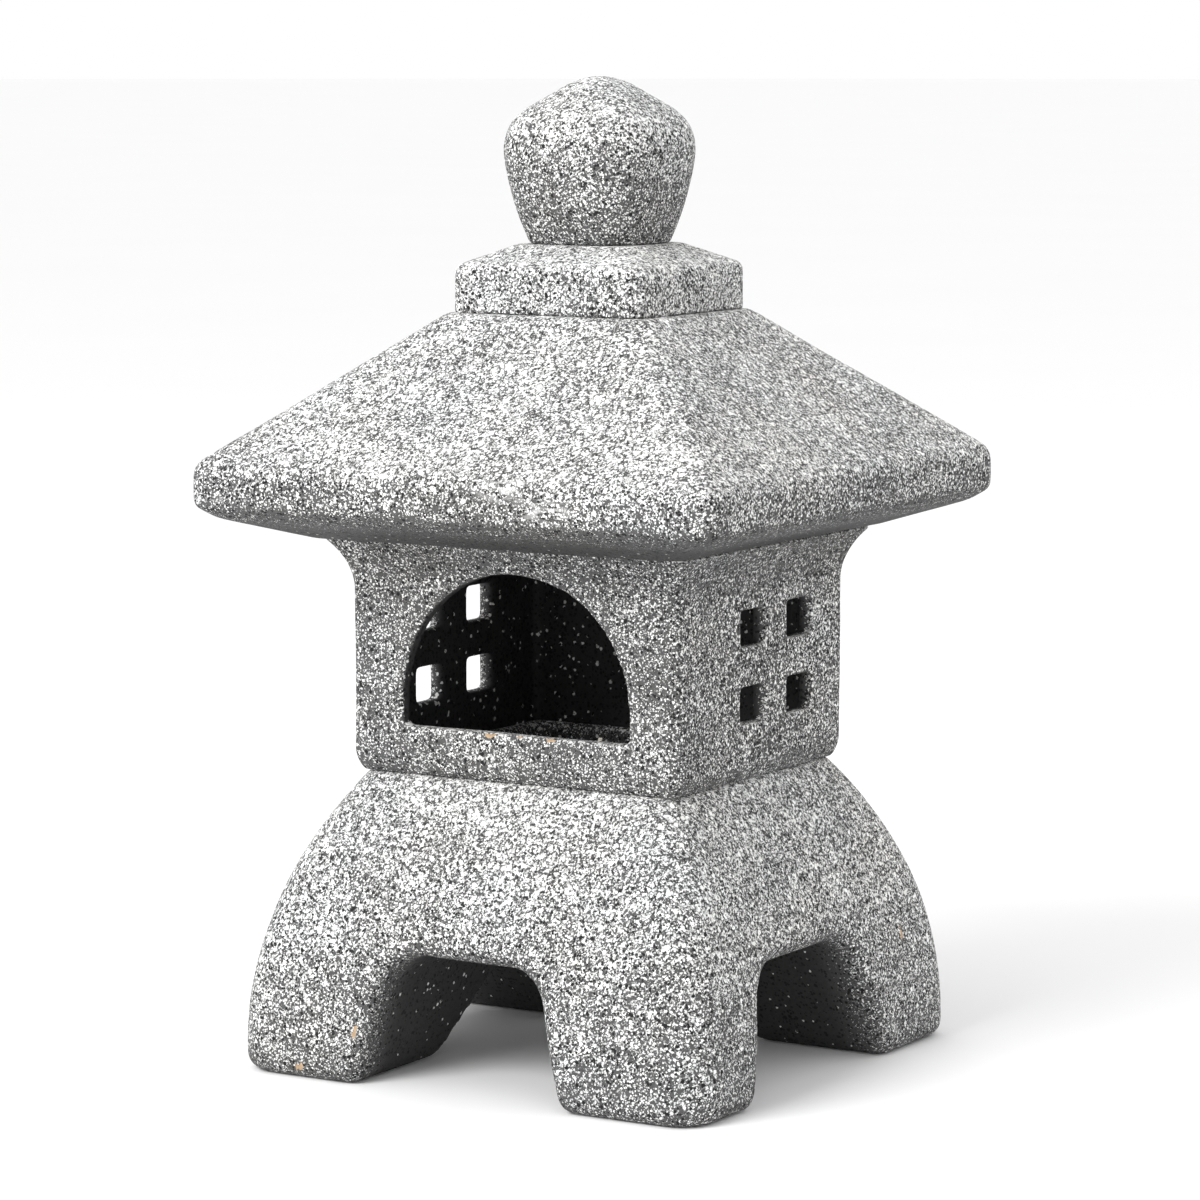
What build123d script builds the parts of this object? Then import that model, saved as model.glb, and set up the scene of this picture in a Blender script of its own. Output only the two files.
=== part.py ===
"""Garden lantern in cast stone: legs, light box, roof, collar and jewel, dry-stacked, and a tea light.

Millimetres. +Z is up and the origin is on the ground, under the middle of the lantern.
The arched mouth faces -Y, and the windows face +X and -X.
"""

import os
from math import copysign, cos, sin, tau

from build123d import *

# Storey heights, and the levels they give from the ground up
BASE_H = 90.7
BOX_H = 72.0
ROOF_H = 67.5
COLLAR_H = 20.5
DECK_Z = BASE_H         # the light box stands on the base here
EAVE_Z = DECK_Z + BOX_H     # the roof stands on the light box here
RIDGE_Z = EAVE_Z + ROOF_H   # the collar stands on the roof here
NECK_Z = RIDGE_Z + COLLAR_H  # the jewel stands on the collar here

# Base
BASE_HALF = 82.0
BASE_TOP_HALF_X = 55.6
BASE_TOP_HALF_Y = 50.6
BASE_BELLY_Z = 8.0      # the flanks stand upright up to here, then curve inwards
BASE_HIP_R = 13.0
BASE_SHOULDER_R = 2.5
FOOT_EDGE_R = 5.0
TRAY_Z = BASE_H - 12.5  # floor of the tray that holds the tea light

# Tunnels between the legs: crown level and radius, and each side at the ground and at the crown
TUNNEL_Z = 40.2
TUNNEL_CROWN_R = 14.0
TUNNEL_EDGE_R = 4.5
FRONT_TUNNEL = ((-37.5, -27.0), (34.0, 24.0))   # runs along Y, sides in X
RIGHT_TUNNEL = ((-45.5, -39.0), (37.0, 18.0))   # runs out to +X, sides in Y
LEFT_TUNNEL = ((-36.0, -8.3), (37.0, 18.0))     # runs out to -X, lower, with flared legs
LEFT_TUNNEL_Z = 28.0
LEFT_TUNNEL_CROWN_R = 22.0

# Light box
WALL_HALF_X = 57.6
WALL_HALF_Y = 51.6
WALL = 5.0
WALL_CORNER_R = 3.5
WAIST_IN = 2.2
WAIST_H = 7.0
COVE_H = 16.5
COVE_OUT = 7.0

ARCH_X = 0.9
ARCH_HALF = 39.8
ARCH_SILL_Z = DECK_Z + 15.0
ARCH_JAMB = 8.7

# Windows: each side wall has two columns at two levels
WINDOW_H = 11.3
WINDOW_PITCH = 29.0
WINDOW_RIGHT_W = 15.5
WINDOW_RIGHT_Y = 8.3    # the right-hand windows sit towards the back
WINDOW_RIGHT_LEVELS = (DECK_Z + 23.2, DECK_Z + 46.4)
WINDOW_LEFT_W = 14.2
WINDOW_LEFT_Y = -0.6
WINDOW_LEFT_LEVELS = (DECK_Z + 22.4, DECK_Z + 44.9)

# Rims that keep the storeys in line
FIT_GAP = 0.5
RIM_H = 4.0
RIM_WALL = 5.0
RIM_CORNER_R = 2.5

# Roof
ROOF_SEAT_HALF = 65.0
EAVE_HALF = 90.9
EAVE_LIP_HALF = 86.0
EAVE_LIP_Z = EAVE_Z + 7.0
EAVE_LOW_Z = EAVE_Z + 10.5
EAVE_HIGH_Z = EAVE_Z + 22.7
EAVE_ROUND_R = 6.0
ROOF_TOP_HALF = 35.5
ROOF_HIP_R = 7.0
VAULT_Z = EAVE_Z + 42.5     # top of the hollow under the roof
VAULT_TOP_HALF = 20.0

# Collar
COLLAR_HALF = 33.6
COLLAR_BROW_Z = RIDGE_Z + 14.2
COLLAR_BROW_R = 3.0
COLLAR_CORNER_R = 6.0
BROW_LEDGE = 0.8        # how far the brow's top stands out from the jewel's neck
COLLAR_TENON_HALF = 13.0
COLLAR_TENON_L = 11.0

# Jewel: points on its side, as half-width and height above its neck
JEWEL_SIDE = (
    (19.0, 0.0), (22.6, 10.0), (25.3, 22.0), (25.7, 32.0),
    (23.0, 38.0), (14.5, 44.5), (8.0, 48.6), (1.5, 50.5),
)
JEWEL_STAGES = 24
JEWEL_SQUARENESS = 3.2  # exponent of its plan: 2 is a circle, and more is squarer
JEWEL_PLAN_POINTS = 24
JEWEL_TENON_R = 9.0
JEWEL_TENON_L = 9.0
SOCKET_CLEARANCE = 0.4
SOCKET_EXTRA_DEPTH = 1.0

# Tea light
CUP_R = 19.0
CUP_H = 16.0
CUP_WALL = 0.5
CUP_LIP = 0.5
WAX_H = 13.0
SUSTAINER_R = 7.5
SUSTAINER_T = 0.4
SUSTAINER_NECK_R = 1.6
SUSTAINER_NECK_H = 4.0
WICK_R = 0.9
WICK_PROUD = 7.0

REACH = 4 * EAVE_HALF   # longer than any piece is wide
UPWARDS = (Align.CENTER, Align.CENTER, Align.MIN)


def storey(half_x, half_y, low, high, corner_r):
    """An upright block with rounded vertical corners."""
    plan = Plane.XY.offset(low) * RectangleRounded(2 * half_x, 2 * half_y, corner_r)
    return extrude(plan, high - low)


def edges_at(solid, low, high, test):
    """The edges whose middles are between two heights and pass a test on their (x, y)."""
    found = []
    for edge in solid.edges():
        middle = edge @ 0.5
        if low < middle.Z < high and test(abs(middle.X), abs(middle.Y)):
            found.append(edge)
    return found


def flank(top_half, plane):
    """The base seen from one side, run right through: upright feet, then a swelling curve."""
    left = TangentArc((-BASE_HALF, BASE_BELLY_Z), (-top_half, DECK_Z), tangent=(0, 1))
    right = TangentArc((BASE_HALF, BASE_BELLY_Z), (top_half, DECK_Z), tangent=(0, 1))
    sides = [
        Line((BASE_HALF, 0), (-BASE_HALF, 0)),
        Line((-BASE_HALF, 0), (-BASE_HALF, BASE_BELLY_Z)),
        left,
        Line((-top_half, DECK_Z), (top_half, DECK_Z)),
        right,
        Line((BASE_HALF, BASE_BELLY_Z), (BASE_HALF, 0)),
    ]
    return extrude(plane * make_face(sides), REACH / 2, both=True)


def archway(sides, crown_z, crown_r):
    """The outline of the way between two legs, from well below the ground up to its crown."""
    (left_foot, left_top), (right_foot, right_top) = sides
    outline = Polyline(
        (2 * right_foot - right_top, -crown_z),
        (right_top, crown_z),
        (left_top, crown_z),
        (2 * left_foot - left_top, -crown_z),
        close=True,
    )
    face = make_face(outline)
    crown = face.vertices().filter_by_position(Axis.Y, crown_z - 1, crown_z + 1)
    return fillet(crown, crown_r)


def tunnels():
    """The way through from front to back, and the branches to the right and to the left."""
    through = Plane.XZ * archway(FRONT_TUNNEL, TUNNEL_Z, TUNNEL_CROWN_R)
    right = Plane.YZ * archway(RIGHT_TUNNEL, TUNNEL_Z, TUNNEL_CROWN_R)
    left = Plane.YZ * archway(LEFT_TUNNEL, LEFT_TUNNEL_Z, LEFT_TUNNEL_CROWN_R)
    return extrude(through, REACH / 2, both=True), extrude(right, REACH / 2), extrude(left, -REACH / 2)


def seat_rim(low, high):
    """The solid block inside a locating rim's outer face."""
    half_x = WALL_HALF_X - WALL - FIT_GAP
    half_y = WALL_HALF_Y - WALL - FIT_GAP
    return storey(half_x, half_y, low, high, RIM_CORNER_R)


def rim_opening(low, high):
    """The space inside a locating rim."""
    half_x = WALL_HALF_X - WALL - FIT_GAP - RIM_WALL
    half_y = WALL_HALF_Y - WALL - FIT_GAP - RIM_WALL
    return storey(half_x, half_y, low, high, RIM_CORNER_R)


def base():
    """Four legs, two crossing tunnels, and a tray on top with a rim that locates the light box."""
    body = flank(BASE_TOP_HALF_X, Plane.XZ) & flank(BASE_TOP_HALF_Y, Plane.YZ)
    hips = edges_at(body, -1, DECK_Z - 1, lambda x, y: min(x, y) > BASE_TOP_HALF_Y)
    body = fillet(hips, BASE_HIP_R)
    body = fillet(body.faces().sort_by(Axis.Z)[-1].edges(), BASE_SHOULDER_R)
    for way in tunnels():
        body -= way
    body = fillet(edges_at(body, -1, 0.1, lambda x, y: True), FOOT_EDGE_R)
    mouths = edges_at(body, 0.5, TUNNEL_Z + 8, lambda x, y: max(x, y) > BASE_HALF - 8)
    body = fillet(mouths, TUNNEL_EDGE_R)
    body += seat_rim(DECK_Z - 1, DECK_Z + RIM_H)
    body -= rim_opening(TRAY_Z, DECK_Z + RIM_H + 1)
    return body


def wall_profile(half, plane):
    """The light box seen from one side: drawn-in waist, upright wall, and a cove under the eaves."""
    out = half + COVE_OUT
    waist = half - WAIST_IN
    sides = [Line((-waist, DECK_Z), (waist, DECK_Z)), Line((-out, EAVE_Z), (out, EAVE_Z))]
    for side in (-1, 1):
        sides += [
            TangentArc((side * half, DECK_Z + WAIST_H), (side * waist, DECK_Z), tangent=(0, -1)),
            Line((side * half, DECK_Z + WAIST_H), (side * half, EAVE_Z - COVE_H)),
            TangentArc((side * half, EAVE_Z - COVE_H), (side * out, EAVE_Z), tangent=(0, 1)),
        ]
    return extrude(plane * make_face(sides), REACH / 2, both=True)


def arch_cut():
    """The arched mouth: short upright jambs and a round head, through the front wall only."""
    spring_z = ARCH_SILL_Z + ARCH_JAMB
    left = ARCH_X - ARCH_HALF
    right = ARCH_X + ARCH_HALF
    outline = [
        Line((left, ARCH_SILL_Z), (right, ARCH_SILL_Z)),
        Line((right, ARCH_SILL_Z), (right, spring_z)),
        ThreePointArc((right, spring_z), (ARCH_X, spring_z + ARCH_HALF), (left, spring_z)),
        Line((left, spring_z), (left, ARCH_SILL_Z)),
    ]
    return extrude(Plane.XZ * make_face(outline), REACH)


def window_cuts(x, width, middle, levels):
    """Two by two openings in the side wall at x."""
    places = [Pos(x, middle + step * WINDOW_PITCH, level) for level in levels for step in (-0.5, 0.5)]
    return [place * Box(4 * WALL, width, WINDOW_H) for place in places]


def firebox():
    """The light box: four walls, an arched mouth and eight windows."""
    body = wall_profile(WALL_HALF_X, Plane.XZ) & wall_profile(WALL_HALF_Y, Plane.YZ)
    corners = edges_at(body, DECK_Z, EAVE_Z, lambda x, y: y > WALL_HALF_Y - 2 and x > WALL_HALF_X - 2)
    upright = [edge for edge in corners if edge.length < BOX_H and abs((edge @ 0.5).Z - EAVE_Z) > 1]
    body = fillet(upright, WALL_CORNER_R)
    inner_x = WALL_HALF_X - WALL
    inner_y = WALL_HALF_Y - WALL
    body -= storey(inner_x, inner_y, DECK_Z - 1, EAVE_Z + 1, RIM_CORNER_R)
    body -= arch_cut()
    right = window_cuts(WALL_HALF_X, WINDOW_RIGHT_W, WINDOW_RIGHT_Y, WINDOW_RIGHT_LEVELS)
    left = window_cuts(-WALL_HALF_X, WINDOW_LEFT_W, WINDOW_LEFT_Y, WINDOW_LEFT_LEVELS)
    for cut in right + left:
        body -= cut
    return body


def square_stack(rings):
    """Straight-sided stages through rounded squares, each given as (half-width, corner radius, level)."""
    plans = [Plane.XY.offset(z) * RectangleRounded(2 * half, 2 * half, r) for half, r, z in rings]
    return loft(plans, ruled=True)


def rim_edges(solid, level):
    """The closed run of edges round a solid at one level."""
    return [edge for edge in solid.edges() if abs((edge @ 0.5).Z - level) < 0.01]


def roof():
    """A hipped roof, hollow under its middle, with a rim that drops into the light box."""
    body = square_stack([
        (ROOF_SEAT_HALF, ROOF_HIP_R, EAVE_Z),
        (EAVE_LIP_HALF, ROOF_HIP_R, EAVE_LIP_Z),
        (EAVE_HALF, ROOF_HIP_R, EAVE_LOW_Z),
        (EAVE_HALF, ROOF_HIP_R, EAVE_HIGH_Z),
        (ROOF_TOP_HALF, ROOF_HIP_R, RIDGE_Z),
    ])
    body = fillet(rim_edges(body, EAVE_HIGH_Z), EAVE_ROUND_R)
    body = fillet(rim_edges(body, EAVE_LOW_Z), EAVE_ROUND_R / 2)
    body += seat_rim(EAVE_Z - RIM_H, EAVE_Z + 1)
    body -= rim_opening(EAVE_Z - RIM_H - 1, EAVE_Z)
    inner_x = WALL_HALF_X - WALL - FIT_GAP - RIM_WALL
    inner_y = WALL_HALF_Y - WALL - FIT_GAP - RIM_WALL
    mouth = Plane.XY.offset(EAVE_Z) * RectangleRounded(2 * inner_x, 2 * inner_y, RIM_CORNER_R)
    top = RectangleRounded(2 * VAULT_TOP_HALF, 2 * VAULT_TOP_HALF, RIM_CORNER_R)
    body -= loft([mouth, Plane.XY.offset(VAULT_Z) * top])
    socket_half = COLLAR_TENON_HALF + SOCKET_CLEARANCE
    socket_floor = RIDGE_Z - COLLAR_TENON_L - SOCKET_EXTRA_DEPTH
    body -= storey(socket_half, socket_half, socket_floor, RIDGE_Z + 1, RIM_CORNER_R)
    return body


def collar():
    """The square block between roof and jewel, with a square tenon below and a round socket above."""
    body = square_stack([
        (COLLAR_HALF, COLLAR_CORNER_R, RIDGE_Z),
        (COLLAR_HALF, COLLAR_CORNER_R, COLLAR_BROW_Z),
        (JEWEL_SIDE[0][0] + BROW_LEDGE, COLLAR_CORNER_R, NECK_Z),
    ])
    body = fillet(rim_edges(body, COLLAR_BROW_Z), COLLAR_BROW_R)
    tenon_low = RIDGE_Z - COLLAR_TENON_L
    body += storey(COLLAR_TENON_HALF, COLLAR_TENON_HALF, tenon_low, RIDGE_Z + 1, RIM_CORNER_R)
    socket_depth = JEWEL_TENON_L + SOCKET_EXTRA_DEPTH
    socket = Cylinder(JEWEL_TENON_R + SOCKET_CLEARANCE, socket_depth, align=UPWARDS)
    body -= Pos(0, 0, NECK_Z - socket_depth) * socket
    return body


def signed_power(value, power):
    """A power of a number's size, with the number's sign."""
    return copysign(abs(value) ** power, value)


def soft_square(half, level):
    """A closed plan between a circle and a square, with one smooth edge."""
    points = []
    for step in range(JEWEL_PLAN_POINTS):
        angle = tau * (step + 0.5) / JEWEL_PLAN_POINTS
        x = half * signed_power(cos(angle), 2 / JEWEL_SQUARENESS)
        y = half * signed_power(sin(angle), 2 / JEWEL_SQUARENESS)
        points.append((x, y))
    return Plane.XY.offset(level) * make_face(Spline(*points, periodic=True))


def finial():
    """The jewel: a bulb on a soft square plan, drawn up to a blunt point, on a round tenon."""
    side = Spline(*JEWEL_SIDE)
    stations = [side @ (step / JEWEL_STAGES) for step in range(JEWEL_STAGES + 1)]
    body = loft([soft_square(p.X, NECK_Z + p.Y) for p in stations], ruled=True)
    tenon = Cylinder(JEWEL_TENON_R, JEWEL_TENON_L + 1, align=UPWARDS)
    return body + Pos(0, 0, NECK_Z - JEWEL_TENON_L) * tenon


def disc(radius, low, height):
    """A round solid that stands at a height above the tray's floor."""
    return Pos(0, 0, TRAY_Z + low) * Cylinder(radius, height, align=UPWARDS)


def tealight_cup():
    """The thin pressed cup, with a rolled lip."""
    body = disc(CUP_R - CUP_LIP, 0, CUP_H) + disc(CUP_R, CUP_H - 2 * CUP_LIP, 2 * CUP_LIP)
    return body - disc(CUP_R - CUP_LIP - CUP_WALL, CUP_WALL, CUP_H)


def wick_sustainer():
    """The tin disc with a crimped neck that holds the wick upright."""
    body = disc(SUSTAINER_R, CUP_WALL, SUSTAINER_T)
    body += disc(SUSTAINER_NECK_R, CUP_WALL, SUSTAINER_NECK_H)
    return body - disc(WICK_R, CUP_WALL + SUSTAINER_T, SUSTAINER_NECK_H)


def tealight_wick():
    """The wick, from the sustainer's plate to above the wax."""
    low = CUP_WALL + SUSTAINER_T
    return disc(WICK_R, low, WAX_H + WICK_PROUD - low)


def tealight_wax():
    """The wax fill, moulded around the sustainer and the wick."""
    body = disc(CUP_R - CUP_LIP - CUP_WALL, CUP_WALL, WAX_H - CUP_WALL)
    body -= disc(SUSTAINER_R, CUP_WALL, SUSTAINER_T)
    body -= disc(SUSTAINER_NECK_R, CUP_WALL, SUSTAINER_NECK_H)
    return body - disc(WICK_R, CUP_WALL, WAX_H)


PIECES = (base, firebox, roof, collar, finial, tealight_cup, tealight_wax, tealight_wick, wick_sustainer)


def main():
    """Write one file per piece."""
    os.makedirs("parts", exist_ok=True)
    for make in PIECES:
        export_step(make(), f"parts/{make.__name__}.step")


main()
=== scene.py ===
from collections import namedtuple
from math import cos, pi, radians, sin

import bmesh
import bpy
import numpy as np
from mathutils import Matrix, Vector, noise


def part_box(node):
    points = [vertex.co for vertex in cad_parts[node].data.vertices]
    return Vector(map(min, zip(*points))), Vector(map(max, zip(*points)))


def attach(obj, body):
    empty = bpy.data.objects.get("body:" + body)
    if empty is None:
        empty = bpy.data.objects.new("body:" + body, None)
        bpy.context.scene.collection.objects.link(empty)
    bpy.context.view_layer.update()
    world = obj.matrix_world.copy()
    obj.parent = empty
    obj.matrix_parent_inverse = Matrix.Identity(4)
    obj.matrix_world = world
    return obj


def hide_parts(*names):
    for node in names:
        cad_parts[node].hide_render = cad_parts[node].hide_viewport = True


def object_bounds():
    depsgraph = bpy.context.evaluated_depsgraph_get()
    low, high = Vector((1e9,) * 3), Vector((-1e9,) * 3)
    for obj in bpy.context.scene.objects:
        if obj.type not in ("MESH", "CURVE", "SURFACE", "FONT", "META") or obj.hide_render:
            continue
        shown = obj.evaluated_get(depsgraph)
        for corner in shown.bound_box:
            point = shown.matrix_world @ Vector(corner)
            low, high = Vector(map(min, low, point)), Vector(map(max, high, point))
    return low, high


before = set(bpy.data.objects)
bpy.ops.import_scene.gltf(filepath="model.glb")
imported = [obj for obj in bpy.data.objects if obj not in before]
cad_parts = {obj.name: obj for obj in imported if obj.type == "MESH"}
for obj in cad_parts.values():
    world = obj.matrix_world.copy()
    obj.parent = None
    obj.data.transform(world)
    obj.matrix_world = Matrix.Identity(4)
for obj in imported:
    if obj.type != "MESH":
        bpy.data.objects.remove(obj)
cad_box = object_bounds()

MM = 0.001
scene = bpy.context.scene
low, high = (Vector(corner) for corner in cad_box)
HEIGHT = high.z - low.z


# ---------------------------------------------------------------- camera

CAMERA_AZIMUTH = 31.0
CAMERA_ELEVATION = 6.95
CAMERA_DISTANCE = 1.434
CAMERA_LENS = 139.9
AIM_SHARE = 0.4685      # how far up the lantern the camera is aimed
CAMERA_TARGET = Vector((0, 0, AIM_SHARE * HEIGHT))
SENSOR_WIDTH = 36
CLIP_END = 100


def direction(azimuth, elevation):
    """The unit vector from the object towards a viewpoint; azimuth 0 is the front, -Y."""
    a, e = radians(azimuth), radians(elevation)
    return Vector((sin(a) * cos(e), -cos(a) * cos(e), sin(e)))


def aim(obj, target):
    """Turn a camera or light so that it looks at a point."""
    obj.rotation_euler = (target - obj.location).to_track_quat("-Z", "Y").to_euler()


def add_camera():
    data = bpy.data.cameras.new("camera")
    data.lens = CAMERA_LENS
    data.sensor_width = SENSOR_WIDTH
    data.clip_end = CLIP_END
    camera = bpy.data.objects.new("camera", data)
    scene.collection.objects.link(camera)
    camera.location = CAMERA_TARGET + CAMERA_DISTANCE * direction(CAMERA_AZIMUTH, CAMERA_ELEVATION)
    aim(camera, CAMERA_TARGET)
    scene.camera = camera


# ---------------------------------------------------------------- node helpers

class Nodes:
    """A material's node tree, with short calls for the maths that the finishes share."""

    def __init__(self, name):
        self.material = bpy.data.materials.new(name)
        self.material.use_nodes = True
        self.tree = self.material.node_tree
        self.shader = self.tree.nodes["Principled BSDF"]

    def put(self, value, socket):
        if isinstance(value, bpy.types.NodeSocket):
            self.tree.links.new(value, socket)
        else:
            socket.default_value = value

    def add(self, kind, inputs=(), **settings):
        node = self.tree.nodes.new("ShaderNode" + kind)
        for key, value in settings.items():
            setattr(node, key, value)
        for key, value in dict(inputs).items():
            self.put(value, node.inputs[key])
        return node

    def math(self, operation, a, b=0.0):
        return self.add("Math", {0: a, 1: b}, operation=operation).outputs[0]

    def ramp(self, value, start, end, to_start=0.0, to_end=1.0):
        """A smooth step from one value to another between two inputs."""
        inputs = {0: value, 1: start, 2: end, 3: to_start, 4: to_end}
        return self.add("MapRange", inputs, interpolation_type="SMOOTHSTEP").outputs[0]

    def mix(self, factor, a, b):
        node = self.add("Mix", data_type="RGBA")
        self.put(factor, node.inputs["Factor"])
        self.put(a, node.inputs[6])
        self.put(b, node.inputs[7])
        return node.outputs[2]

    def tint(self, colour, by):
        """One colour multiplied by another."""
        node = self.add("Mix", data_type="RGBA", blend_type="MULTIPLY")
        node.inputs["Factor"].default_value = 1
        self.put(colour, node.inputs[6])
        self.put(by, node.inputs[7])
        return node.outputs[2]

    def attribute(self, name):
        return self.add("Attribute", attribute_name=name).outputs["Fac"]

    def vectors(self, operation, a, b):
        return self.add("VectorMath", {0: a, 1: b}, operation=operation).outputs[0]

    def scaled(self, vector, factor):
        return self.add("VectorMath", {0: vector, "Scale": factor}, operation="SCALE").outputs[0]

    def position_mm(self):
        return self.scaled(self.add("TexCoord").outputs["Object"], 1 / MM)

    def noise(self, place, size, detail=2.0, roughness=0.5, output="Fac"):
        """Noise with features of a size in mm."""
        inputs = {"Vector": place, "Scale": 1 / size, "Detail": detail, "Roughness": roughness}
        return self.add("TexNoise", inputs).outputs[output]

    def cells(self, place, size):
        """Scattered points about a size in mm apart: the distance to the nearest, and its three chances."""
        node = self.add("TexVoronoi", {"Vector": place, "Scale": 1 / size})
        chances = self.add("SeparateColor", {0: node.outputs["Color"]})
        return node.outputs["Distance"], chances.outputs

    def bump(self, height, strength, distance):
        inputs = {"Height": height, "Strength": strength, "Distance": distance}
        return self.add("Bump", inputs).outputs[0]


def grey(value, warmth=0.0):
    """A linear grey, made a little warmer, or cooler below zero."""
    return (value * (1 + warmth), value, value * (1 - 2 * warmth), 1)


# ---------------------------------------------------------------- sprayed granite finish

# Sizes are in mm. Radii, and what changes them, are in shares of the cell that a fleck sits in.
Flecks = namedtuple("Flecks", "size smallest largest share bare_loss edge darkest")
DUST = Flecks(0.52, 0.07, 0.68, 0.82, 0.80, 0.07, grey(0.34))
FINE = Flecks(0.90, 0.03, 0.50, 0.50, 0.48, 0.07, grey(0.60))
COARSE = Flecks(1.7, -0.04, 0.36, 0.36, -0.03, 0.04, grey(0.74, 0.01))
WHITE = grey(0.98)

Specks = namedtuple("Specks", "size smallest largest share")
SMALL_SPECKS = Specks(0.95, 0.16, 0.54, 0.46)
LARGE_SPECKS = Specks(2.0, 0.10, 0.34, 0.32)
SPECK_EDGE = 0.05
BLACK = grey(0.010)

RAGGED_SIZE = 0.45
RAGGED_REACH = 0.75
SPRAY_AND_PAINTED_LIGHT_BELOW_ABOVE = (-0.14, 0.17)  # how radii change on what faces down and on what faces up: partly the spray, partly painted light, lighter tops and darker undersides
SPRAY_PATCHES = (22, -0.05, 0.05)       # the patches' size, and how radii change in them
SMEAR_GREY = grey(0.80)
SMEAR_GRAIN = (0.35, 1.2, 1.2)          # streaks run along X
TAN_DARK = (0.26, 0.17, 0.10, 1)
TAN_LIGHT = (0.62, 0.45, 0.29, 1)
RELIEF_DEPTH = 0.2 * MM


def ragged(n, place):
    """Places shifted a little at random, so that the cells built on them have uneven edges."""
    wander = n.noise(place, RAGGED_SIZE, 2, output="Color")
    wander = n.vectors("SUBTRACT", wander, (0.5, 0.5, 0.5))
    return n.vectors("ADD", place, n.scaled(wander, RAGGED_REACH))


def flecks(n, place, kind, density, bare_and_painted_shade):
    """Where the white flecks of one kind lie, and the tone of each: smaller where bare, which paints shade
    in recesses, and larger where the coat value is above one, which paints a highlight.
    """
    distance, chance = n.cells(place, kind.size)
    radius = n.ramp(chance[0], 0, 1, kind.smallest, kind.largest)
    radius = n.math("ADD", radius, density)
    # Where the coat value is low, smaller flecks paint shade in recesses; above one, larger flecks paint a
    # highlight.
    radius = n.math("SUBTRACT", radius, n.math("MULTIPLY", bare_and_painted_shade, kind.bare_loss))
    inside = n.ramp(n.math("SUBTRACT", radius, distance), -kind.edge, kind.edge)
    there = n.math("LESS_THAN", chance[1], kind.share)
    return n.math("MULTIPLY", inside, there), chance[2]


def specks(n, place, kind):
    """Where the black specks of one kind lie, each with its own radius."""
    distance, chance = n.cells(place, kind.size)
    radius = n.ramp(chance[0], 0, 1, kind.smallest, kind.largest)
    inside = n.ramp(n.math("SUBTRACT", radius, distance), -SPECK_EDGE, SPECK_EDGE)
    return n.math("MULTIPLY", inside, n.math("LESS_THAN", chance[1], kind.share))


def undercoat(n, place, coat_and_painted_light):
    """The grey under the flecks: mottled where sprayed, and near black where bare, which is painted shade
    in the recesses.
    """
    painted_shade_undercoat = n.mix(n.noise(place, 1.2, 3), grey(0.022), grey(0.050))
    sprayed = n.mix(n.noise(place, 0.8, 3, 0.6), grey(0.030), grey(0.125))
    return n.mix(n.ramp(coat_and_painted_light, 0.1, 1.0), painted_shade_undercoat, sprayed)


def smears(n, place):
    """How strongly pale spray was dragged across, in streaks."""
    streaks = n.noise(n.vectors("MULTIPLY", place, SMEAR_GRAIN), 2.2, 3)
    return n.math("MULTIPLY", n.attribute("smear"), n.ramp(streaks, 0.42, 0.6, 0, 0.6))


def chipped_away(n, place):
    """Where the coat is gone, with a broken edge."""
    broken = n.ramp(n.noise(place, 1.6, 3), 0.3, 0.7, -0.3, 0.3)
    return n.ramp(n.math("ADD", n.attribute("chip"), broken), 0.45, 0.6)


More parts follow.
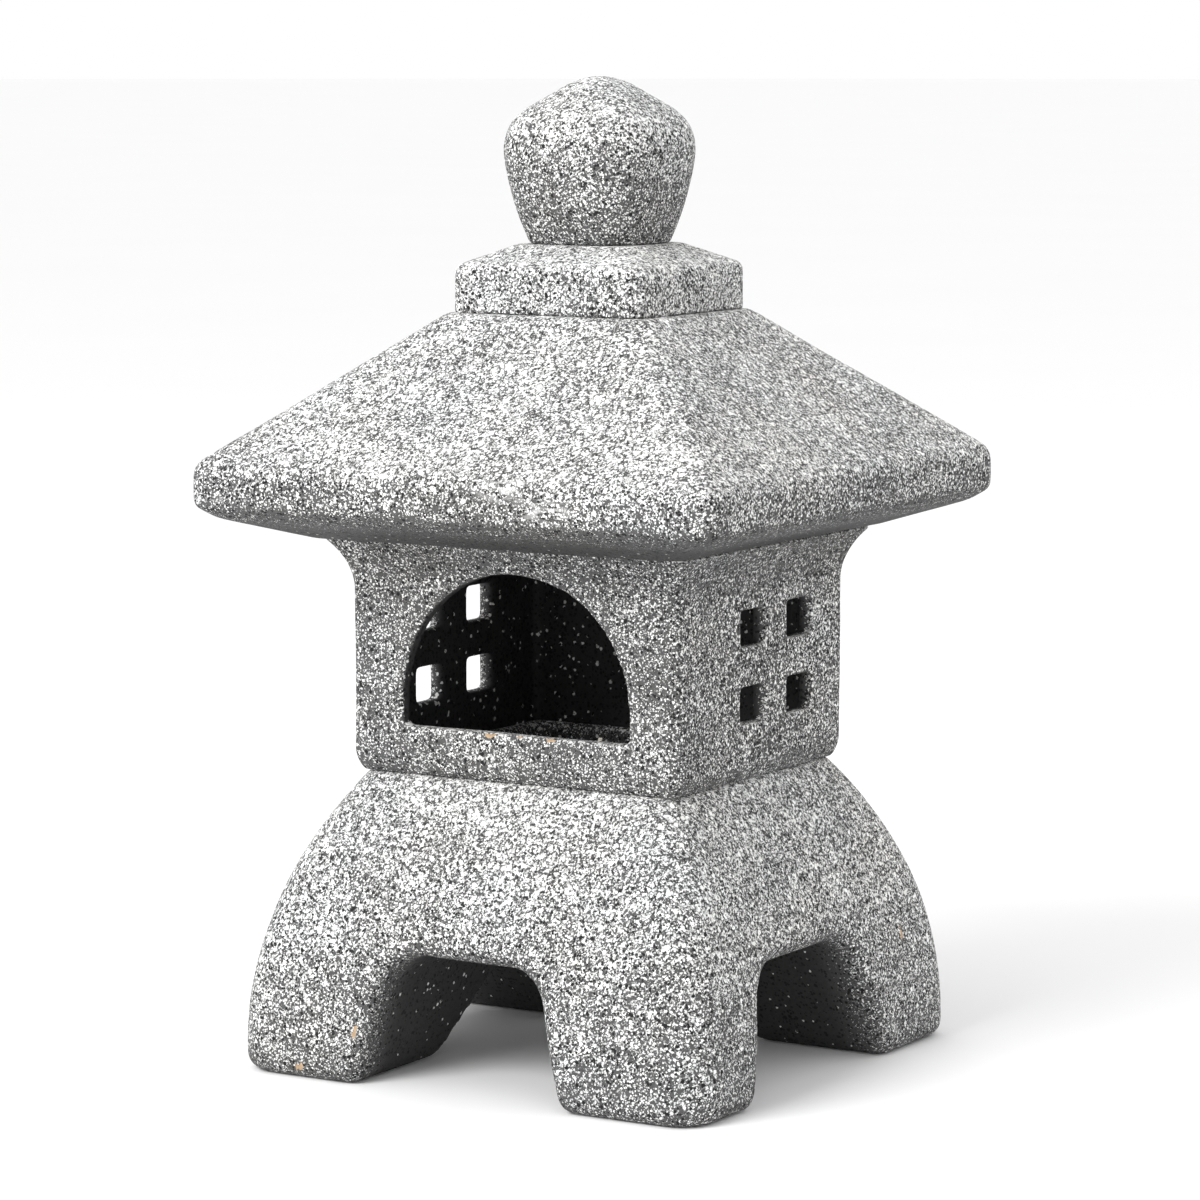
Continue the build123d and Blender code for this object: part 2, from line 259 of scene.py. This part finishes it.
def granite():
    """Grey coat with sprayed white and black flecks, denser on what faces up, partly as painted light from
    above, and tan body at chips; a thinner coat paints shade in recesses and a fuller one paints a
    highlight on the collar and finial.
    """
    n = Nodes("granite_fleck")
    place = n.position_mm()
    grain = ragged(n, place)
    up = n.add("SeparateXYZ", {0: n.add("NewGeometry").outputs["Normal"]}).outputs["Z"]
    coat_and_painted_light = n.attribute("coat_and_painted_light")
    bare_and_painted_shade = n.math("SUBTRACT", 1, coat_and_painted_light)
    patch_size, thinner, thicker = SPRAY_PATCHES
    patches = n.ramp(n.noise(place, patch_size, 3), 0.3, 0.7, thinner, thicker)
    # Flecks grow on what faces up and shrink on what faces down: partly the spray, partly painted light
    # from above.
    density = n.math("ADD", n.ramp(up, -0.6, 0.75, *SPRAY_AND_PAINTED_LIGHT_BELOW_ABOVE), patches)

    colour = undercoat(n, place, coat_and_painted_light)
    white = 0
    for kind in (DUST, FINE, COARSE):
        where, tone = flecks(n, grain, kind, density, bare_and_painted_shade)
        colour = n.mix(where, colour, n.mix(tone, kind.darkest, WHITE))
        white = n.math("MAXIMUM", white, where)
    black = n.math("MAXIMUM", specks(n, grain, SMALL_SPECKS), specks(n, grain, LARGE_SPECKS))
    # Fewer black specks on what faces up: partly painted light, tops lighter as light from above makes
    # them.
    black = n.math("MULTIPLY", black, n.ramp(up, 0.3, 0.8, 1.0, 0.75))
    colour = n.mix(black, colour, BLACK)
    colour = n.mix(smears(n, place), colour, SMEAR_GREY)
    colour = n.tint(colour, n.mix(n.noise(place, 35, 2), (1.02, 1.0, 0.965, 1), (0.97, 1.0, 1.01, 1)))
    chipped = chipped_away(n, place)
    colour = n.mix(chipped, colour, n.mix(n.noise(place, 0.8, 3), TAN_DARK, TAN_LIGHT))

    rough = n.ramp(white, 0, 1, 0.72, 0.88)
    rough = n.math("ADD", rough, n.ramp(n.noise(place, 0.6, 2), 0.3, 0.7, -0.06, 0.06))
    relief = n.math("ADD", n.math("MULTIPLY", white, 0.35), n.noise(place, 0.5, 4, 0.6))
    relief = n.math("SUBTRACT", relief, n.math("MULTIPLY", black, 0.3))
    relief = n.math("SUBTRACT", relief, n.math("MULTIPLY", chipped, 0.8))
    n.put(colour, n.shader.inputs["Base Color"])
    n.put(rough, n.shader.inputs["Roughness"])
    n.put(n.bump(relief, 0.45, RELIEF_DEPTH), n.shader.inputs["Normal"])
    n.shader.inputs["Specular IOR Level"].default_value = 0.25
    return n.material


# ---------------------------------------------------------------- stone pieces

# The outsides of the CAD pieces that the coat and the painted shade in the recesses are measured from
BASE_TOP_HALF = (55.6 * MM, 50.6 * MM)
BASE_BELLY_Z = 8 * MM       # the base's flanks stand upright up to here, then curve inwards
WALL_HALF = (57.6 * MM, 51.6 * MM)
WAIST_IN = 2.2 * MM
WAIST_H = 7 * MM
SILL_Z = 107 * MM           # the mouth's sill lies just under this
SILL_BACK = -46.6 * MM
VAULT_HALF = (50 * MM, 54 * MM)     # the coat stops across this rim of the hollow under the roof, and painted shade fills the hollow
VAULT_Z = 206.5 * MM

# The unevenness of a cast surface
WAVE_HEIGHT = 0.28 * MM
BROAD_WAVE = 30 * MM
CLOSE_WAVE = 7 * MM
LEVEL_END = (0.5 * MM, 4 * MM)      # it fades out over this from each piece's top and bottom


def smoothstep(start, end, value):
    t = np.clip((value - start) / (end - start), 0, 1)
    return t * t * (3 - 2 * t)


def vectors_of(collection, key):
    """One vector for each item of a mesh's collection, as rows."""
    flat = np.empty(len(collection) * 3, np.float32)
    collection.foreach_get(key, flat)
    return flat.reshape(-1, 3).astype(float)


def cast_unevenness(co, seed):
    """The slight waviness of a cast surface, about -1 to 1 at each point, different for each seed."""
    offset = Vector((seed * 3.7, seed * 1.3, seed * 2.1))
    broad = np.array([noise.noise(Vector(p) / BROAD_WAVE + offset) for p in co])
    close = np.array([noise.noise(Vector(p) / CLOSE_WAVE + offset) for p in co])
    return broad + 0.25 * close


def remeshed(node, voxel, rounds):
    """A copy of a CAD node's mesh as an even skin, with its edges worn round."""
    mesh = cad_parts[node].data.copy()
    obj = bpy.data.objects.new("work", mesh)
    scene.collection.objects.link(obj)
    remesh = obj.modifiers.new("remesh", "REMESH")
    remesh.mode = "VOXEL"
    remesh.voxel_size = voxel
    soften = obj.modifiers.new("soften", "SMOOTH")
    soften.factor = 0.5
    soften.iterations = rounds
    bpy.context.view_layer.update()
    graph = bpy.context.evaluated_depsgraph_get()
    skin = bpy.data.meshes.new_from_object(obj.evaluated_get(graph))
    bpy.data.objects.remove(obj)
    return skin


def set_attribute(mesh, name, values):
    layer = mesh.attributes.new(name, "FLOAT", "POINT")
    layer.data.foreach_set("value", np.asarray(values, np.float32))


def finish_piece(name, mesh, node, body, material):
    """Put a mesh in the scene in place of a CAD node."""
    mesh.materials.clear()
    mesh.materials.append(material)
    mesh.shade_smooth()
    obj = bpy.data.objects.new(name, mesh)
    scene.collection.objects.link(obj)
    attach(obj, body)
    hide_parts(node)


def outside_of_base(co):
    """How far a point of the base lies behind its outer flanks."""
    bottom_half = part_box("base")[1].x
    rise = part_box("firebox")[0].z - BASE_BELLY_Z
    height = np.clip(co[:, 2] - BASE_BELLY_Z, 0, rise)
    depths = []
    for axis, top_half in enumerate(BASE_TOP_HALF):
        centre = (bottom_half + top_half) / 2 - rise**2 / (2 * (bottom_half - top_half))
        radius = bottom_half - centre
        flank = centre + np.sqrt(radius**2 - height**2)
        depths.append(flank - np.abs(co[:, axis]))
    return np.minimum(*depths)


# Where the tan body shows at knocks and where pale spray was smeared: middle and half-size, in mm
CHIPS = (
    ((-57, -81, 4), (1.6, 3, 1.4)),
    ((-7, -51.6, 105.2), (2.6, 1.2, 0.5)),
    ((3, -51.6, 105.2), (1.4, 1.0, 0.4)),
    ((14, -51.6, 105.2), (2.4, 1.2, 0.5)),
    ((-37, -81, 17), (0.6, 3, 2.0)),
    ((80, 50, 37), (3, 0.8, 2.6)),
)
SMEARS = (
    ((22, -84, 183.5), (10, 12, 3.5)),
    ((35, -84, 178.5), (9, 12, 3.5)),
)


def nearness(co, marks):
    """1 at the middle of a mark, falling to 0 a little outside its half-size."""
    near = np.zeros(len(co))
    for place, size in marks:
        reach = np.linalg.norm((co - np.array(place) * MM) / (np.array(size) * MM), axis=1)
        near = np.maximum(near, np.clip(1.4 - reach, 0, 1))
    return near


def stone_piece(node, body, voxel, rounds, seed, coat_and_painted_light_of, material):
    """Skin a CAD node, make it uneven, and mark its coat with its painted shade and highlight, chips and
    smears for the finish.
    """
    mesh = remeshed(node, voxel, rounds)
    co = vectors_of(mesh.vertices, "co")
    out = vectors_of(mesh.vertex_normals, "vector")
    coat_and_painted_light = coat_and_painted_light_of(co, out)
    ends = np.minimum(co[:, 2] - co[:, 2].min(), co[:, 2].max() - co[:, 2])
    lift = WAVE_HEIGHT * cast_unevenness(co, seed) * np.minimum(coat_and_painted_light, 1) * smoothstep(*LEVEL_END, ends)
    co += out * lift[:, None]
    mesh.vertices.foreach_set("co", co.astype(np.float32).ravel())
    set_attribute(mesh, "coat_and_painted_light", coat_and_painted_light)
    set_attribute(mesh, "chip", nearness(co, CHIPS))
    set_attribute(mesh, "smear", nearness(co, SMEARS))
    finish_piece(node + "_stone", mesh, node, body, material)


def base_coat_and_painted_shade(co, out):
    """Coated outside, thinning as it goes in between the legs and into the tray, which paints shade there.
    """
    return 1 - smoothstep(2 * MM, 24 * MM, outside_of_base(co))


def firebox_coat_and_painted_shade(co, out):
    """Coated outside, a little way into the windows, and on top of the mouth's sill; thinner inside, which
    paints shade on the inner faces and reveals.
    """
    waist = WAIST_IN * (1 - smoothstep(0, WAIST_H, co[:, 2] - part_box("firebox")[0].z))
    depth_x, depth_y = (WALL_HALF[axis] - waist - np.abs(co[:, axis]) for axis in (0, 1))
    side = 1 - smoothstep(1.0 * MM, 4.6 * MM, depth_x)
    front = 1 - smoothstep(0.5 * MM, 1.8 * MM, depth_y)
    sill = (out[:, 2] > 0.4) * (co[:, 1] < SILL_BACK) * (co[:, 2] < SILL_Z)
    return np.maximum(np.maximum(side, front), sill)


def roof_coat_and_painted_shade(co, out):
    """Coated outside, thinner under the eaves, and bare in the hollow: painted shade under the eaves and in
    the hollow.
    """
    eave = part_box("roof")[1].x
    reach = np.maximum(np.abs(co[:, 0]), np.abs(co[:, 1]))
    under = 1 - smoothstep(-0.6, -0.2, out[:, 2])
    soffit = 0.45 + 0.4 * smoothstep(0.78 * eave, 0.98 * eave, reach)
    hollow = 1 - smoothstep(*VAULT_HALF, reach)
    inside = hollow * (co[:, 2] < VAULT_Z)
    return (1 - under * (1 - soffit)) * (1 - inside)


def collar_coat_and_painted_highlight(co, out):
    """A little more than fully coated all over, which paints it lighter as a painted highlight."""
    return np.full(len(co), 1.2)


def finial_coat_and_painted_highlight(co, out):
    """Slightly more than fully coated all over, which paints it lighter as a painted highlight."""
    return np.full(len(co), 1.1)


# ---------------------------------------------------------------- tea light

SAME_POINT = 1e-7   # metres
CUP_TURNS = 288
CUP_FLUTES = 72
CUP_FLUTE_DEPTH = 0.004     # as a share of the radius
WAX_TURNS = 128
WAX_STEPS = 24
SUSTAINER_TURNS = 96
WICK_STRANDS = 3
WICK_TWISTS = 6.5
WICK_STEPS = 120
STRAND_R = 0.40 * MM
STRAND_SWING = 0.42 * MM
WICK_LEAN = 0.22 * MM


def mesh_from(name, verts, faces):
    """A mesh with doubled points joined and its faces turned outwards."""
    mesh = bpy.data.meshes.new(name)
    mesh.from_pydata([tuple(v) for v in verts], [], faces)
    mesh.validate()
    build = bmesh.new()
    build.from_mesh(mesh)
    bmesh.ops.remove_doubles(build, verts=build.verts, dist=SAME_POINT)
    bmesh.ops.recalc_face_normals(build, faces=build.faces)
    build.to_mesh(mesh)
    build.free()
    return mesh


def lathe(name, outline, turns, ripple=None):
    """Turn an outline of (radius, height) in metres about the Z axis. It starts and ends on the axis."""
    verts, faces = [], []
    rows = len(outline)
    for step in range(turns):
        angle = 2 * pi * step / turns
        for radius, height in outline:
            reach = radius * (1 + ripple(angle, radius, height)) if ripple else radius
            verts.append((reach * cos(angle), reach * sin(angle), height))
    for step in range(turns):
        here, there = step * rows, ((step + 1) % turns) * rows
        for row in range(rows - 1):
            faces.append((here + row, there + row, there + row + 1, here + row + 1))
    return mesh_from(name, verts, faces)


def rounded(outline, radius, steps=5):
    """An outline with its inner corners turned into arcs, by cutting each corner with a quadratic curve."""
    result = [outline[0]]
    for before, corner, after in zip(outline, outline[1:], outline[2:]):
        corner_v, ends = Vector(corner), []
        for neighbour in (before, after):
            leg = Vector(neighbour) - corner_v
            ends.append(corner_v + leg.normalized() * min(radius, leg.length * 0.45))
        for step in range(steps + 1):
            t = step / steps
            point = ends[0] * (1 - t) ** 2 + corner_v * 2 * t * (1 - t) + ends[1] * t**2
            result.append(tuple(point))
    result.append(outline[-1])
    return result


def cup_mesh(low, high):
    """A pressed foil cup: round-cornered floor with a stamped ring, fluted side and rolled lip."""
    wall, lip = 0.35 * MM, 0.5 * MM
    side, floor, top = high.x - lip, low.z, high.z
    outline = [
        (0, floor + 0.3 * MM), (0.30 * side, floor + 0.3 * MM), (0.36 * side, floor),
        (side, floor), (side, top - 2 * lip), (high.x, top - lip), (side - wall, top),
        (side - wall, floor + 1.2 * wall), (0, floor + 0.3 * MM + wall),
    ]

    def flutes(angle, radius, height):
        rise = (height - floor) / (top - floor)
        fade = sin(pi * min(max(rise, 0), 1))
        return CUP_FLUTE_DEPTH * sin(CUP_FLUTES * angle) * (radius > 0.9 * side) * fade

    return lathe("tealight_cup_foil", rounded(outline, 0.8 * MM), CUP_TURNS, flutes)


def wax_mesh(low, high, wick_half):
    """The wax fill, with a raised edge at the foil, a slight dish, and a collar up the wick."""
    side, floor, top = high.x, low.z, high.z
    surface = []
    for step in range(WAX_STEPS + 1):
        t = step / WAX_STEPS
        radius = side + (wick_half * 1.15 - side) * t
        from_edge, from_wick = side - radius, radius - wick_half
        climb = 0.5 * MM * np.exp(-from_edge / (0.8 * MM)) + 0.7 * MM * np.exp(-from_wick / (0.7 * MM))
        surface.append((radius, top - 0.6 * MM + climb - 0.25 * MM * sin(pi * t)))
    outline = [(0, floor), (side, floor), *surface, (0, surface[-1][1])]
    return lathe("tealight_wax_fill", outline, WAX_TURNS)


def sustainer_mesh(low, high, wick_half):
    """The tin disc with a stamped ridge and a neck crimped on the wick."""
    plate, floor = 0.3 * MM, low.z
    neck = wick_half + 0.3 * MM
    outline = [
        (0, floor), (0.96 * high.x, floor), (high.x, floor + 0.15 * MM), (0.96 * high.x, floor + plate),
        (0.62 * high.x, floor + plate), (0.55 * high.x, floor + 2 * plate), (0.48 * high.x, floor + plate),
        (neck + 0.5 * MM, floor + plate), (neck, floor + 2.5 * plate), (neck, high.z), (wick_half, high.z),
        (wick_half, floor + plate), (0, floor + plate),
    ]

    def crimps(angle, radius, height):
        return -0.10 * max(0, sin(6 * angle)) * (0.7 * neck < radius < 1.2 * neck)

    return lathe("wick_sustainer_tin", rounded(outline, 0.15 * MM, 3), SUSTAINER_TURNS, crimps)


def strand(centre_line, radius, sides=10):
    """The vertices and faces of a closed tube along a line of points."""
    verts, faces = [], []
    for i, point in enumerate(centre_line):
        after = centre_line[min(i + 1, len(centre_line) - 1)]
        before = centre_line[max(i - 1, 0)]
        along = (after - before).normalized()
        across = along.orthogonal().normalized()
        other = along.cross(across)
        taper = 0.75 if i in (0, len(centre_line) - 1) else 1
        for side in range(sides):
            angle = 2 * pi * side / sides
            verts.append(point + taper * radius * (cos(angle) * across + sin(angle) * other))
    for i in range(len(centre_line) - 1):
        for side in range(sides):
            a, b = i * sides + side, i * sides + (side + 1) % sides
            faces.append((a, b, b + sides, a + sides))
    last = len(verts) - sides
    faces.append(tuple(reversed(range(sides))))
    faces.append(tuple(range(last, last + sides)))
    return verts, faces


def wick_mesh(low, high):
    """Cotton strands laid round each other, leaning a little at the free end."""
    verts, faces = [], []
    length = high.z - low.z
    for lead in range(WICK_STRANDS):
        line = []
        for step in range(WICK_STEPS + 1):
            t = step / WICK_STEPS
            angle = 2 * pi * (lead / WICK_STRANDS + WICK_TWISTS * t)
            swing = STRAND_SWING * (1 - 0.25 * t)
            lean = WICK_LEAN * max(0, t - 0.6)
            line.append(Vector((swing * cos(angle) + lean, swing * sin(angle), low.z + length * t)))
        new_verts, new_faces = strand(line, STRAND_R)
        start = len(verts)
        verts += new_verts
        faces += [tuple(start + i for i in face) for face in new_faces]
    return mesh_from("tealight_wick_plait", verts, faces)


def foil():
    """Drawn aluminium, a little smudged by handling."""
    n = Nodes("cup_aluminium")
    place = n.position_mm()
    drawn = n.vectors("MULTIPLY", place, (0.6, 0.6, 9.0))
    lines = n.noise(drawn, 1.2, 4)
    handled = n.noise(place, 5, 3)
    n.put(n.mix(handled, (0.70, 0.71, 0.72, 1), (0.86, 0.86, 0.86, 1)), n.shader.inputs["Base Color"])
    rough = n.math("ADD", n.ramp(lines, 0.3, 0.7, 0.22, 0.36), n.ramp(handled, 0.4, 0.7, 0, 0.12))
    n.put(rough, n.shader.inputs["Roughness"])
    n.put(n.bump(lines, 0.3, 0.05 * MM), n.shader.inputs["Normal"])
    n.shader.inputs["Metallic"].default_value = 1
    return n.material


def paraffin():
    """Cloudy wax that lets some light in."""
    n = Nodes("wax")
    place = n.position_mm()
    cloud = n.noise(place, 3.5, 4)
    pits = n.noise(place, 0.5, 3)
    n.put(n.mix(cloud, (0.80, 0.77, 0.70, 1), (0.90, 0.88, 0.83, 1)), n.shader.inputs["Base Color"])
    n.put(n.ramp(cloud, 0.3, 0.7, 0.34, 0.50), n.shader.inputs["Roughness"])
    relief = n.math("ADD", cloud, n.math("MULTIPLY", pits, 0.25))
    n.put(n.bump(relief, 0.4, 0.12 * MM), n.shader.inputs["Normal"])
    n.shader.inputs["Subsurface Weight"].default_value = 0.25
    n.shader.inputs["Subsurface Radius"].default_value = (1.0, 0.8, 0.6)
    n.shader.inputs["Subsurface Scale"].default_value = 2 * MM
    return n.material


def cotton():
    """Off-white thread."""
    n = Nodes("wick_cotton")
    place = n.position_mm()
    thread = n.vectors("MULTIPLY", place, (4, 4, 1.2))
    fibre = n.noise(thread, 0.5, 4, 0.6)
    n.put(n.mix(fibre, (0.62, 0.57, 0.47, 1), (0.90, 0.87, 0.79, 1)), n.shader.inputs["Base Color"])
    n.put(n.ramp(fibre, 0.3, 0.7, 0.75, 0.92), n.shader.inputs["Roughness"])
    n.put(n.bump(fibre, 0.6, 0.08 * MM), n.shader.inputs["Normal"])
    return n.material


def tinplate():
    """Tinned steel with its spangle and fine scuffs."""
    n = Nodes("tinplate")
    place = n.position_mm()
    scuffs = n.noise(place, 0.7, 4)
    spangle = n.cells(place, 2.5)[1][0]
    n.put(n.mix(spangle, (0.55, 0.55, 0.54, 1), (0.72, 0.72, 0.70, 1)), n.shader.inputs["Base Color"])
    n.put(n.ramp(scuffs, 0.3, 0.7, 0.28, 0.48), n.shader.inputs["Roughness"])
    n.put(n.bump(scuffs, 0.3, 0.04 * MM), n.shader.inputs["Normal"])
    n.shader.inputs["Metallic"].default_value = 1
    return n.material


def add_tealight():
    """The four pieces that lift out together."""
    wick_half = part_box("tealight_wick")[1].x
    parts = (
        ("tealight_cup", cup_mesh(*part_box("tealight_cup")), "cup_aluminium", foil()),
        ("tealight_wax", wax_mesh(*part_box("tealight_wax"), wick_half), "wax", paraffin()),
        ("wick_sustainer", sustainer_mesh(*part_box("wick_sustainer"), wick_half), "tinplate", tinplate()),
        ("tealight_wick", wick_mesh(*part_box("tealight_wick")), "wick_cotton", cotton()),
    )
    for node, mesh, slot, material in parts:
        finish_piece(mesh.name, mesh, node, "tea_light", material)


# ---------------------------------------------------------------- stage

FLOOR_RADIUS = 30
WORLD_STRENGTH = 1.0


def add_floor():
    """A plain pale disc far wider than the view."""
    mesh = bpy.data.meshes.new("floor")
    build = bmesh.new()
    bmesh.ops.create_circle(build, cap_ends=True, segments=96, radius=FLOOR_RADIUS)
    build.to_mesh(mesh)
    build.free()
    n = Nodes("floor")
    shade = n.mix(n.noise(n.position_mm(), 400, 2), grey(0.955), grey(0.975))
    n.put(shade, n.shader.inputs["Base Color"])
    n.shader.inputs["Roughness"].default_value = 0.9
    n.shader.inputs["Specular IOR Level"].default_value = 0.1
    mesh.materials.append(n.material)
    floor = bpy.data.objects.new("floor", mesh)
    floor.location.z = low.z
    scene.collection.objects.link(floor)


def add_light(name, azimuth, elevation, distance, size, power):
    """A round soft light, in metres and watts, aimed at the object."""
    data = bpy.data.lights.new(name, "AREA")
    data.shape = "DISK"
    data.size = size
    data.energy = power
    light = bpy.data.objects.new(name, data)
    scene.collection.objects.link(light)
    light.location = CAMERA_TARGET + distance * direction(azimuth, elevation)
    aim(light, CAMERA_TARGET)


def add_world(strength):
    """An even white surround."""
    world = bpy.data.worlds.new("studio")
    world.use_nodes = True
    background = world.node_tree.nodes["Background"]
    background.inputs["Color"].default_value = (1, 1, 1, 1)
    background.inputs["Strength"].default_value = strength
    scene.world = world


# ---------------------------------------------------------------- build

add_camera()
add_floor()
add_world(WORLD_STRENGTH)
add_light("key", -14, 32, 1.8, 1.0, 25)
scene.view_settings.view_transform = "Standard"

# Each stone piece: node, body, size of its skin's cells, rounds of wear, seed, and where it is coated,
# which also paints shade in recesses and a highlight on the collar and finial
STONE_PIECES = (
    ("base", "stand", 1.3 * MM, 5, 1, base_coat_and_painted_shade),
    ("firebox", "light_box", 0.9 * MM, 4, 2, firebox_coat_and_painted_shade),
    ("roof", "roof_cap", 1.2 * MM, 5, 3, roof_coat_and_painted_shade),
    ("collar", "collar_block", 0.8 * MM, 5, 4, collar_coat_and_painted_highlight),
    ("finial", "jewel", 0.7 * MM, 8, 5, finial_coat_and_painted_highlight),
)
stone = granite()
for piece in STONE_PIECES:
    stone_piece(*piece, stone)
add_tealight()
